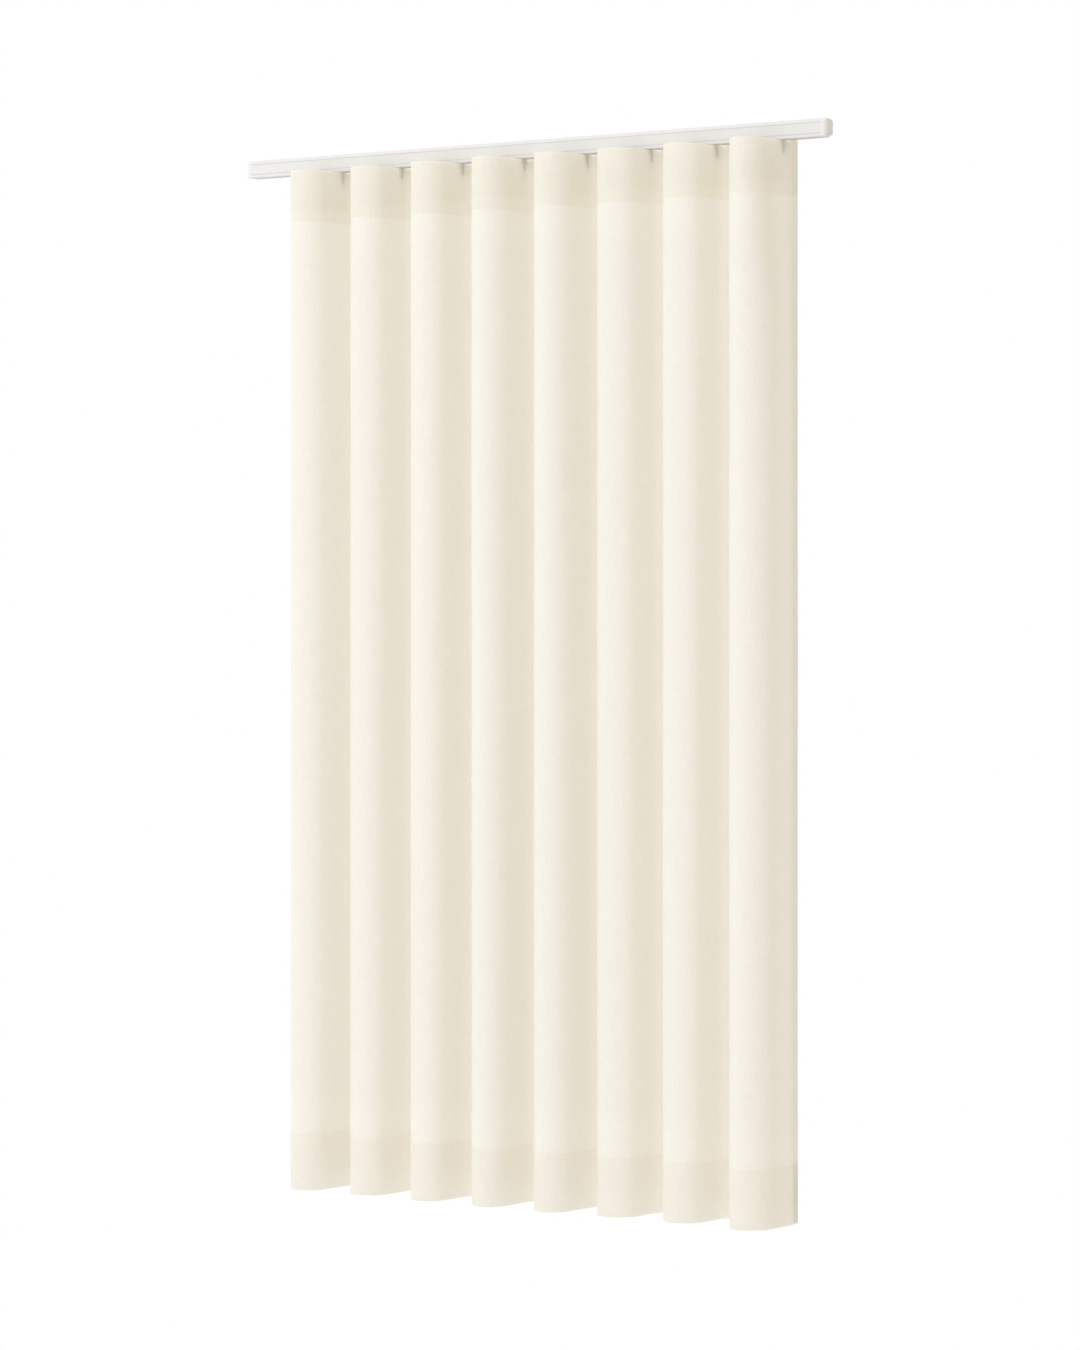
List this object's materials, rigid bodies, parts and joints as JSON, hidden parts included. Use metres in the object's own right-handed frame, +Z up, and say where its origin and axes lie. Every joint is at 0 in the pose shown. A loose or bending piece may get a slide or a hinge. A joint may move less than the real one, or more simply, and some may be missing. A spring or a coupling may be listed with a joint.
{
  "type": "sheer curtain",
  "caption": "Sheer wave-fold curtain panel with header and hem, hung on snap gliders that slide in a rounded ceiling track.",
  "frame": {"origin": "middle of the track's top face, where it meets the ceiling", "axes": "+X along the track to the right as seen from the room, -Y to the room, +Z up"},
  "size_m": [1.486, 0.1581, 2.217],
  "materials": {
    "track_white": "satin white powder coat on an aluminium extrusion",
    "cap_white": "fine matt moulding",
    "glider_white": "self-lubricating moulded plastic",
    "stud_clear": "clear moulded press stud",
    "cord": "braided cord",
    "tape": "translucent woven tape",
    "sheer": "sheer linen-look voile with fine slubs"
  },
  "bodies": {
    "track": {"track": "track_white", "end_cap_left": "cap_white", "end_cap_right": "cap_white"},
    "glider_01": {"glider_01": "glider_white", "snap_stud_01": "stud_clear", "spacing_cord": "cord", "heading_tape": "tape", "curtain_cloth": "sheer"},
    "glider_02": {"glider_02": "glider_white", "snap_stud_02": "stud_clear"},
    "glider_03": {"glider_03": "glider_white", "snap_stud_03": "stud_clear"},
    "glider_04": {"glider_04": "glider_white", "snap_stud_04": "stud_clear"},
    "glider_05": {"glider_05": "glider_white", "snap_stud_05": "stud_clear"},
    "glider_06": {"glider_06": "glider_white", "snap_stud_06": "stud_clear"},
    "glider_07": {"glider_07": "glider_white", "snap_stud_07": "stud_clear"},
    "glider_08": {"glider_08": "glider_white", "snap_stud_08": "stud_clear"},
    "glider_09": {"glider_09": "glider_white", "snap_stud_09": "stud_clear"},
    "glider_10": {"glider_10": "glider_white", "snap_stud_10": "stud_clear"},
    "glider_11": {"glider_11": "glider_white", "snap_stud_11": "stud_clear"},
    "glider_12": {"glider_12": "glider_white", "snap_stud_12": "stud_clear"},
    "glider_13": {"glider_13": "glider_white", "snap_stud_13": "stud_clear"},
    "glider_14": {"glider_14": "glider_white", "snap_stud_14": "stud_clear"},
    "glider_15": {"glider_15": "glider_white", "snap_stud_15": "stud_clear"},
    "glider_16": {"glider_16": "glider_white", "snap_stud_16": "stud_clear"}
  },
  "joints": [
    {"name": "curtain_shift", "type": "slide", "parent": "track", "child": "glider_01", "axis": [1, 0, 0], "range_m": [-0.12, 0.055]},
    {"name": "draw", "type": "slide", "parent": "glider_01", "child": "glider_16", "axis": [-1, 0, 0], "range_m": [0, 0.9675], "deforming": ["curtain_cloth", "heading_tape", "spacing_cord"]},
    {"name": "draw_02", "type": "slide", "parent": "glider_01", "child": "glider_02", "axis": [-1, 0, 0], "range_m": [0, 0.065]},
    {"name": "draw_03", "type": "slide", "parent": "glider_01", "child": "glider_03", "axis": [-1, 0, 0], "range_m": [0, 0.1295]},
    {"name": "draw_04", "type": "slide", "parent": "glider_01", "child": "glider_04", "axis": [-1, 0, 0], "range_m": [0, 0.194]},
    {"name": "draw_05", "type": "slide", "parent": "glider_01", "child": "glider_05", "axis": [-1, 0, 0], "range_m": [0, 0.2585]},
    {"name": "draw_06", "type": "slide", "parent": "glider_01", "child": "glider_06", "axis": [-1, 0, 0], "range_m": [0, 0.323]},
    {"name": "draw_07", "type": "slide", "parent": "glider_01", "child": "glider_07", "axis": [-1, 0, 0], "range_m": [0, 0.3875]},
    {"name": "draw_08", "type": "slide", "parent": "glider_01", "child": "glider_08", "axis": [-1, 0, 0], "range_m": [0, 0.452]},
    {"name": "draw_09", "type": "slide", "parent": "glider_01", "child": "glider_09", "axis": [-1, 0, 0], "range_m": [0, 0.5165]},
    {"name": "draw_10", "type": "slide", "parent": "glider_01", "child": "glider_10", "axis": [-1, 0, 0], "range_m": [0, 0.581]},
    {"name": "draw_11", "type": "slide", "parent": "glider_01", "child": "glider_11", "axis": [-1, 0, 0], "range_m": [0, 0.6455]},
    {"name": "draw_12", "type": "slide", "parent": "glider_01", "child": "glider_12", "axis": [-1, 0, 0], "range_m": [0, 0.71]},
    {"name": "draw_13", "type": "slide", "parent": "glider_01", "child": "glider_13", "axis": [-1, 0, 0], "range_m": [0, 0.7745]},
    {"name": "draw_14", "type": "slide", "parent": "glider_01", "child": "glider_14", "axis": [-1, 0, 0], "range_m": [0, 0.839]},
    {"name": "draw_15", "type": "slide", "parent": "glider_01", "child": "glider_15", "axis": [-1, 0, 0], "range_m": [0, 0.9035]}
  ],
  "couplings": [
    {"joint": "draw_02", "follows": "draw", "ratio": 0.066667},
    {"joint": "draw_03", "follows": "draw", "ratio": 0.13333},
    {"joint": "draw_04", "follows": "draw", "ratio": 0.2},
    {"joint": "draw_05", "follows": "draw", "ratio": 0.26667},
    {"joint": "draw_06", "follows": "draw", "ratio": 0.33333},
    {"joint": "draw_07", "follows": "draw", "ratio": 0.4},
    {"joint": "draw_08", "follows": "draw", "ratio": 0.46667},
    {"joint": "draw_09", "follows": "draw", "ratio": 0.53333},
    {"joint": "draw_10", "follows": "draw", "ratio": 0.6},
    {"joint": "draw_11", "follows": "draw", "ratio": 0.66667},
    {"joint": "draw_12", "follows": "draw", "ratio": 0.73333},
    {"joint": "draw_13", "follows": "draw", "ratio": 0.8},
    {"joint": "draw_14", "follows": "draw", "ratio": 0.86667},
    {"joint": "draw_15", "follows": "draw", "ratio": 0.93333}
  ]
}
